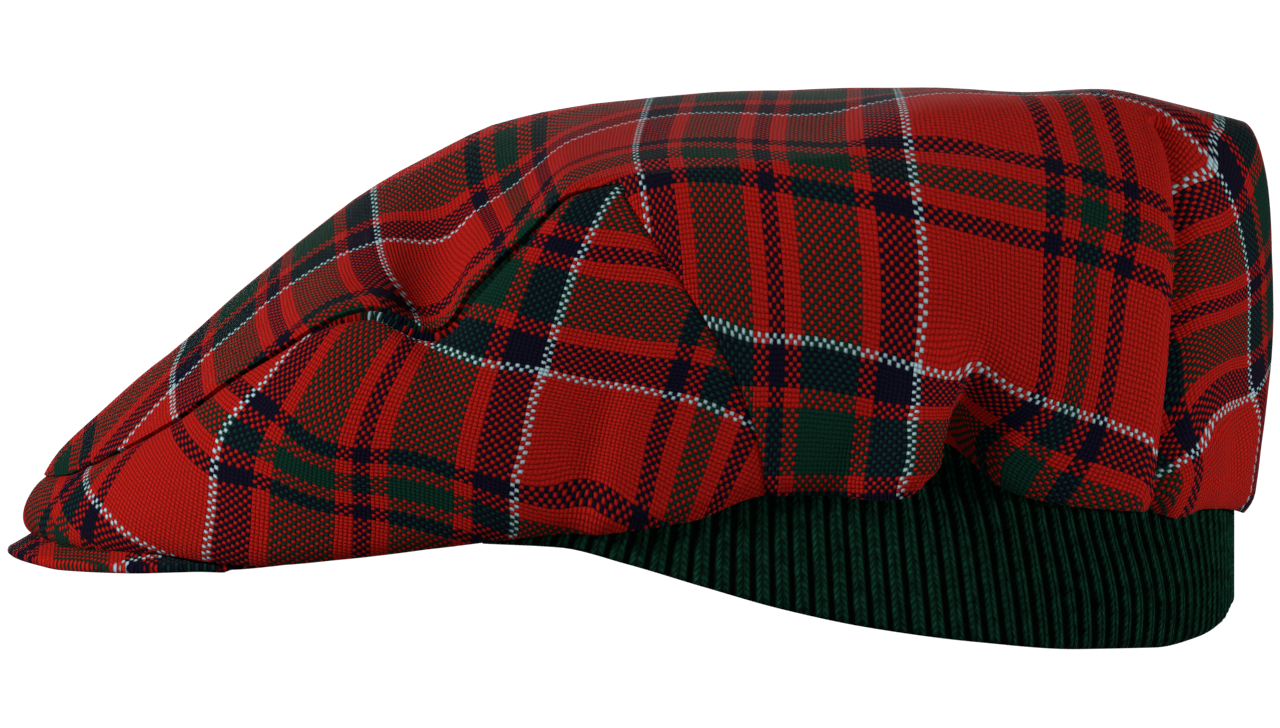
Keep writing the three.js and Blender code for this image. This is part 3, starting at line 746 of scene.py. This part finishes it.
def tartan(name):
    cloth, tree, wool = new_material(name)
    threads = node(tree, "ShaderNodeUVMap", uv_map="threads").outputs[0]
    wander = noise_texture(tree, threads, scale=0.35, detail=2)
    wandering = node(tree, "ShaderNodeVectorMath", operation="MULTIPLY_ADD")
    feed(tree, wander.outputs["Color"], wandering.inputs[0])
    feed(tree, (WANDER, WANDER, 0), wandering.inputs[1])
    feed(tree, threads, wandering.inputs[2])
    split = node(tree, "ShaderNodeSeparateXYZ")
    feed(tree, wandering.outputs[0], split.inputs[0])
    warp, weft = split.outputs["X"], split.outputs["Y"]
    warp_number, weft_number = maths(tree, "FLOOR", warp), maths(tree, "FLOOR", weft)
    weft_over = maths(tree, "FLOORED_MODULO", maths(tree, "ADD", warp_number, weft_number), 2)

    # the thread on top is round across, and goes down under the next ones at both ends
    warp_edge, weft_edge = off_middle(tree, warp), off_middle(tree, weft)
    across_it = mixed(tree, weft_over, warp_edge, weft_edge, "FLOAT")
    along_it = mixed(tree, weft_over, weft_edge, warp_edge, "FLOAT")
    to_ends = maths(tree, "POWER", along_it, 2)
    roundness = maths(tree, "SUBTRACT", 1, maths(tree, "POWER", across_it, THREAD_FLATNESS))
    arch = maths(tree, "SUBTRACT", 1, maths(tree, "MULTIPLY", to_ends, DIP))
    height = maths(tree, "MULTIPLY", roundness, arch)

    # there a light thread is lost in the shade of a dark one: it takes the darker of the two colours, channel
    # by channel, which is partly the crossing thread's colour and partly painted shade where it dips under
    warp_colour, weft_colour = sett_colour(tree, warp_number), sett_colour(tree, weft_number)
    over = mixed(tree, weft_over, warp_colour, weft_colour)
    under = mixed(tree, weft_over, weft_colour, warp_colour)
    thread_colours_and_painted_dip_shade = mixed(tree, maths(tree, "MULTIPLY", to_ends, FADE), over, under, blend_type="DARKEN")

    # fibres lie lighter and darker at random, and the hollows between the threads are darkened with painted
    # shade
    fibre = noise_texture(tree, threads, scale=2.6, detail=3).outputs["Fac"]
    fibre_shade = scaled(tree, fibre, gain=0.9, offset=0.5)
    painted_hollow_shade = scaled(tree, height, gain=0.65, offset=0.32)
    shaded = node(tree, "ShaderNodeVectorMath", operation="SCALE")
    feed(tree, thread_colours_and_painted_dip_shade, shaded.inputs[0])
    feed(tree, maths(tree, "MULTIPLY", fibre_shade, painted_hollow_shade), shaded.inputs["Scale"])
    feed(tree, shaded.outputs[0], wool.inputs["Base Color"])
    surface = maths(tree, "MULTIPLY_ADD", fibre, FIBRE_HEIGHT, height)
    finish_wool(
        tree, wool, surface, relief=WEAVE_RELIEF * MM, strength=0.8, roughness=0.92, specular=0.04,
        sheen=0.02, tint=(0.9, 0.5, 0.45),
    )
    return cloth


def plain_lining():
    lining, _, cloth = new_material("lining")
    cloth.inputs["Base Color"].default_value = (0.012, 0.02, 0.018, 1)
    cloth.inputs["Roughness"].default_value = 0.6
    return lining


tartan_cloth = tartan("tartan_wool")
lining = plain_lining()
EDGE_ROUNDING = 0.7
SHARP_EDGE = math.radians(55)


def add_wall(piece):
    """Gives a sheet of cloth its thickness, with the lining inside, and rounds its edges."""
    wall = piece.modifiers.new("cloth_thickness", "SOLIDIFY")
    wall.thickness = CLOTH * MM
    wall.offset = -1
    wall.material_offset = 1
    wall.material_offset_rim = 0
    rounding = piece.modifiers.new("turned_edge", "BEVEL")
    rounding.width = EDGE_ROUNDING * MM
    rounding.segments = 3
    rounding.limit_method = "ANGLE"
    rounding.angle_limit = SHARP_EDGE


crown_cloth = new_sheet()
for right in (False, True):
    add_patch(crown_cloth, crown_form[:, : TOP_RINGS + 1], crown_threads[:, : TOP_RINGS + 1], right)
    side = slice(FRONT_COLUMNS, DART_COLUMN + 1), slice(TOP_RINGS, None)
    add_patch(crown_cloth, crown_form[side], crown_threads[side], right)
    add_patch(crown_cloth, crown_form[DART_COLUMN:, TOP_RINGS:], back_threads, right)
crown = finish_piece("crown_cloth", crown_cloth, tartan_cloth, lining)
add_wall(crown)
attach(crown, "root")
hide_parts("crown")

# ---- side panels ----
# One panel of the same cloth each side, cut on a slant. They meet at the centre front, the crown is sewn to
# their upper and back edges, and the peak is sewn under the hem.

PANEL_ACROSS = {
    48: [(-135.6, 11), (-140.1, 5.2), (-141.4, 2.6)],
    77: [(-97.1, 37.3), (-99.3, 34.2), (-105.6, 27.8), (-110.9, 21.8), (-114.7, 14.7), (-116, 1.8),
         (-118.7, -10)],
    110: [(-78.9, 26.7), (-83.4, 13.6), (-83.4, -0.7), (-83.4, -9.8)],
    143: [(-27.8, 69.8), (-32.2, 62.7), (-36, 54.2), (-39.3, 44.2), (-42.4, 34.4), (-43.6, 29.6),
          (-46, 23.6), (-47.8, 14.4), (-50.2, 5.3), (-50.9, -7.3)],
    172: [(-15.8, 24.2), (-19.2, 15.3), (-22.6, -0.3)],
    190: [(-0.8, 12.6), (-6.3, -0.3)],
}
PANEL_ALONG = {
    1: [(-80.9, 43.8), (-74.4, 38.7), (-65.1, 34.4), (-56, 31.8), (-43.6, 29.6), (-33.3, 27.6),
        (-22.7, 26.2), (-11.1, 23.8), (-4.4, 20.9)],
    30: [(-107.6, 24), (-99.8, 18.2), (-95.8, 14.2), (-83.4, 11.7), (-73.6, 11), (-63.2, 7.8),
         (-50.5, 3.8), (-41.2, 2.1), (-33.5, 4.4), (-28, 0.4), (-23.9, -2.4)],
    48: [(-125, 17.6), (-119, 10.4), (-115.4, 7.8), (-106, 5.8), (-93.2, 0.7), (-83.4, -0.7),
         (-63.2, -5.9)],
    77: [(-145.3, 7.1), (-144, 2), (-140, -2.4), (-135.8, -6.4), (-130.7, -9.3)],
}
panel_smooth = form[: FRONT_COLUMNS + 1, TOP_RINGS:]
# laid flat: along the middle of the panel from the centre front, and up from its hem
panel_length = step_lengths(panel_smooth[:, WALL_RINGS // 2 : WALL_RINGS // 2 + 1], 0)
panel_drop = step_lengths(panel_smooth, 1)
panel_flat = np.stack(np.broadcast_arrays(panel_length, panel_drop - panel_drop[:, -1:]), -1)
panel_threads = np.stack(
    [thin_plate(pins(lines, panel_smooth, panel_flat), panel_flat) for lines in (PANEL_ACROSS, PANEL_ALONG)],
    axis=-1,
)
# the allowance inside the crown takes on the threads of the seam
panel_threads = np.concatenate([panel_threads[:, :1], panel_threads], axis=1)

for right, name in ((False, "left"), (True, "right")):
    panel_cloth = new_sheet()
    add_patch(panel_cloth, panel_form, panel_threads, right)
    panel_piece = finish_piece(f"side_panel_cloth_{name}", panel_cloth, tartan_cloth, lining)
    add_wall(panel_piece)
    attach(panel_piece, "root")
    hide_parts(f"side_panel_{name}")

# ---- peak ----
# A stiff board the shape of a crescent, wrapped in the same tartan. Only its rim shows under the front of the
# side panels. Its back edge lies inside, along the brow.

BROW = {
    "front": -106, "back": 100, "half": 79, "widest_y": -10, "front_power": 2.1, "back_power": 2.1,
}
PEAK_BACK_Y = -64
BROW_BACK_Y = -60
# By the y of the rim above it: how far it stands out past the rim, the height of its top at its own edge and
# inside at the brow, and its thickness.
PEAK = table(
    "y overhang edge inside thickness",
    (-157.6, 5.8, -9.8, 4, 2), (-156, 5.8, -10.3, 4, 2.2), (-152.6, 5.6, -11, 3.8, 2.5),
    (-147, 5.2, -11.8, 3.4, 2.8), (-134, 3.6, -12.2, 2, 2.7), (-123, 0.6, -12.3, 1, 2),
    (-116, -2.9, -12.2, 0, 1.6), (-100, -3.2, -10.6, -2, 1.6), (PEAK_BACK_Y, -3.2, -6, -4, 2.2),
)
PEAK_COLUMNS = 110
PEAK_ROWS = 28
PEAK_CROWDING = 1.8  # its rows lie closer together at the edge
EDGE_RISE = 2.2  # how far the board rises from its edge
EDGE_WIDTH = 5  # over this width
SEAT_GAP = 0.4  # and how far it stays under the rim
PEAK_ARCH = 1.5  # how far it arches from there to the brow
# Where its edge lies inside the rim, by more than HIDDEN_FROM, it rises less, and from HIDDEN_BY on only by
# HIDDEN_RISE.
HIDDEN_FROM = 1.5
HIDDEN_BY = 2.9
HIDDEN_RISE = 0.3


def brow_point(y):
    return np.stack([half_width(BROW, y), y, np.zeros_like(y)], -1)


def peak_places():
    """Places on the left half of the board, by column and row, from the brow out below and back in on top."""
    rim = even_steps(rim_point, RIM["front"], PEAK_BACK_Y, PEAK_COLUMNS)[:, None]
    brow = even_steps(brow_point, BROW["front"], BROW_BACK_Y, PEAK_COLUMNS)[:, None]
    size = {name: read(PEAK, name, rim[..., 1]) for name in ("overhang", "edge", "inside", "thickness")}
    hidden = smoothstep((-size["overhang"] - HIDDEN_FROM) / (HIDDEN_BY - HIDDEN_FROM))
    under = np.minimum(size["edge"] + EDGE_RISE, rim[..., 2] - SEAT_GAP)
    seat = under + (size["edge"] + HIDDEN_RISE - under) * hidden
    inward = np.linspace(0, 1, PEAK_ROWS)[None] ** PEAK_CROWDING
    start = rim + rim_outward(rim) * size["overhang"][..., None]
    flat = start + (brow - start) * inward[..., None]
    distance = inward * np.linalg.norm((brow - start)[..., :2], axis=-1)
    past_edge = distance - EDGE_WIDTH
    at_edge = size["edge"] + (seat - size["edge"]) * smoothstep(distance / EDGE_WIDTH)
    to_brow = (size["inside"] - seat) * smoothstep(past_edge / past_edge[:, -1:])
    arch = 4 * inward * (1 - inward) * PEAK_ARCH * (past_edge > 0)
    height = at_edge + to_brow + arch
    half = size["thickness"] / 2
    roundness = np.sqrt(1 - (1 - np.clip(distance / half, 0, 1)) ** 2)
    top, under = flat.copy(), flat.copy()
    top[..., 2] = height - half + half * roundness
    under[..., 2] = height - half - half * roundness
    return np.concatenate([under[:, ::-1], top[:, 1:]], axis=1)


peak_form = peak_places()
# The cloth of the peak is cut straight. A white line runs back along each side, and a green stripe across.
WHITE_LINE_X = 54.5
WHITE_THREAD = 76.5
GREEN_STRIPE_Y = -152
GREEN_THREAD = 90
peak_cloth = new_sheet()
for right in (False, True):
    side = -1 if right else 1
    along = GREEN_THREAD + (peak_form[..., 1] - GREEN_STRIPE_Y) / THREAD_ALONG
    across = WHITE_THREAD + (side * peak_form[..., 0] - WHITE_LINE_X) / THREAD_ACROSS
    across = CENTRE_THREAD + side * (across - CENTRE_THREAD)
    add_patch(peak_cloth, peak_form, np.stack([along, across], -1), right)
peak = finish_piece("peak_cloth", peak_cloth, tartan_cloth)
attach(peak, "root")
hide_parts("peak")

# ---- ear band ----
# A band of bottle green wool knitted in ribs of one plain and one purl stitch. It runs from temple to temple
# round the back, is caught inside the hem, and hangs down over the ears. Its ribs lean a little.

BAND_THICKNESS = 2.6
BAND_INSET = 3.9  # from the outline of the rim in to the face of the band
# The gather behind the ear presses the band in: how far, and how far that reaches from (y, z) along and down.
PRESSED = {"depth": 7.5, "y": 46, "z": 16, "along": 20, "down": 26}
BAND_FRONT_Y = -58
# Upper edge of the band, inside the crown, and lower edge.
BAND_TOP = table("y z", (BAND_FRONT_Y, 5), (0, 13), (30, 16.5), (44, 18), (60, 16), (85, 12), (112.5, 10))
BAND_LINE = table(
    "y z",
    (BAND_FRONT_Y, -7.6), (-41, -8.4), (-26, -12), (-9, -17), (8, -21.8), (28, -26), (52, -29.2),
    (76, -31), (94, -31), (104, -29.2), (110, -26.6), (112.5, -23),
)
RIBS = 57.5  # on each side, from half a rib at the front end to a groove at the centre back
RIB_PITCH = 4.1
RIB_STEPS = 8
RIB_DEPTH = 1.5
RIB_FLATNESS = 2.5
STITCH = 1.5  # its height
BAND_ROWS = 46
EDGE_SHARE = 0.06  # of the band's height, over which its lower edge is rounded
END_RIBS = 0.5  # of its front end, over which that is rounded
# How far the ribs lean back for each millimetre down, and how far they swing forward and back again on the
# way.
RIB_LEAN = table(
    "y lean swing",
    (BAND_FRONT_Y, -0.5, 0), (-30, -0.3, 0), (0, 0, 0), (30, 0.1, 0), (60, 0.16, 0.4), (85, 0.12, 2),
    (100, 0.08, 2.4), (113, 0, 0),
)


def band_places():
    """Places on the left half of the band, down its face and up its back, and which stitch lies at each."""
    columns = round(RIBS * RIB_STEPS)
    start = even_steps(lambda y: rim_point(y) * (1, 1, 0), BAND_FRONT_Y, RIM["back"], columns)
    ribs = np.linspace(0, RIBS, columns + 1)[:, None]
    down = np.linspace(0, 1, BAND_ROWS + 1)[None]
    length = (read(BAND_TOP, "z", start[:, 1]) - read(BAND_LINE, "z", start[:, 1]))[:, None]
    lean = read(RIB_LEAN, "lean", start[:, 1])[:, None] * length * down
    swing = read(RIB_LEAN, "swing", start[:, 1])[:, None] * np.sin(2 * np.pi * down)
    along = np.clip(ribs * RIB_PITCH + lean - swing, 0, RIBS * RIB_PITCH)
    rim = np.stack([np.interp(along, ribs[:, 0] * RIB_PITCH, start[:, axis]) for axis in range(3)], -1)
    top = read(BAND_TOP, "z", rim[..., 1])
    bottom = read(BAND_LINE, "z", rim[..., 1])
    height = top + (bottom - top) * down
    outward = rim_outward(rim)
    rib = np.abs(((ribs + 0.5) % 1) * 2 - 1)  # 1 in a groove, 0 on the middle of a rib
    groove = RIB_DEPTH * rib**RIB_FLATNESS
    turn = np.sqrt(1 - np.clip((down - 1 + EDGE_SHARE) / EDGE_SHARE, 0, 1) ** 2)
    turn = turn * np.sqrt(1 - np.clip(1 - ribs / END_RIBS, 0, 1) ** 2)
    middle = BAND_THICKNESS / 2
    depth = middle - (middle - groove) * turn
    along, below = (rim[..., 1] - PRESSED["y"]) / PRESSED["along"], (PRESSED["z"] - height) / PRESSED["down"]
    away = np.hypot(along, below)
    inset = BAND_INSET + PRESSED["depth"] * smoothstep(1 - away)
    front = rim - outward * (inset + depth)[..., None]
    back = rim - outward * (inset + BAND_THICKNESS - depth)[..., None]
    front[..., 2] = back[..., 2] = height
    stitches = np.stack(np.broadcast_arrays(ribs, (top - height) / STITCH), -1)
    both = np.concatenate([front, back[:, ::-1], front[:, :1]], axis=1)
    return both, np.concatenate([stitches, stitches[:, ::-1], stitches[:, :1]], axis=1)


# The knitting seen close by. A plain stitch has two legs, which slant down to the middle of the rib.
RIB_SWAY = 0.16  # how far a rib sways on its way down, in ribs
LEG_REACH = 2.9  # the legs fill the inner 2 / LEG_REACH of the rib
LEG_SLANT = 1.3  # in stitches, from the groove to the middle
HAIR_HEIGHT = 0.3  # beside a stitch's 1
KNIT_RELIEF = 0.7
# near black, the painted shade of the grooves and of the hollows between the legs; then the green of the wool
# itself
GROOVE_PAINTED_SHADE = (0.0002, 0.001, 0.0007, 1)
STITCH_GREEN = (0.006, 0.07, 0.038, 1)


def knit(name):
    knitted, tree, wool = new_material(name)
    split = node(tree, "ShaderNodeSeparateXYZ")
    feed(tree, node(tree, "ShaderNodeUVMap", uv_map="threads").outputs[0], split.inputs[0])
    rib, row = split.outputs["X"], split.outputs["Y"]
    place = node(tree, "ShaderNodeTexCoord").outputs["Object"]
    mottle = noise_texture(tree, place, scale=420, detail=2).outputs["Fac"]
    fibre = noise_texture(tree, place, scale=1900, detail=3).outputs["Fac"]

    # 0 on the middle of a rib, 1 in the groove beside it
    swaying = maths(tree, "MULTIPLY_ADD", mottle, RIB_SWAY, maths(tree, "SUBTRACT", rib, RIB_SWAY / 2))
    to_groove = maths(tree, "SUBTRACT", 1, off_middle(tree, swaying))
    off_leg = maths(tree, "ABSOLUTE", scaled(tree, to_groove, LEG_REACH, -1))
    leg_round = maths(tree, "SUBTRACT", 1, maths(tree, "POWER", maths(tree, "MINIMUM", off_leg, 1), 2))
    slant = maths(tree, "FRACT", maths(tree, "MULTIPLY_ADD", to_groove, -LEG_SLANT, row))
    loop = maths(tree, "SINE", maths(tree, "MULTIPLY", slant, math.pi))
    height = maths(tree, "MULTIPLY", leg_round, scaled(tree, loop, gain=0.55, offset=0.45))

    # the wool's green is mottled and hairy at random, and darkens to a near black painted shade where the
    # knitting lies low, in the grooves and between the legs
    patchy = scaled(tree, mottle, gain=1.5, offset=-0.2)
    hairy = scaled(tree, fibre, gain=1.5, offset=0.1)
    painted_shade_by_height = scaled(tree, height, gain=0.9, offset=0.1)
    mottle_and_painted_shade = maths(tree, "MULTIPLY", maths(tree, "MULTIPLY", patchy, hairy), painted_shade_by_height)
    feed(tree, mixed(tree, mottle_and_painted_shade, GROOVE_PAINTED_SHADE, STITCH_GREEN), wool.inputs["Base Color"])
    surface = maths(tree, "MULTIPLY_ADD", fibre, HAIR_HEIGHT, height)
    finish_wool(
        tree, wool, surface, relief=KNIT_RELIEF * MM, strength=1, roughness=0.95, specular=0.03,
        sheen=0.01, tint=(0.3, 0.7, 0.55),
    )
    return knitted


band_form, band_stitches = band_places()
band_knit = new_sheet()
for right in (False, True):
    add_patch(band_knit, band_form, band_stitches, right)
band = finish_piece("ear_band_knit", band_knit, knit("bottle_green_knit"))
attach(band, "root")
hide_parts("ear_band")
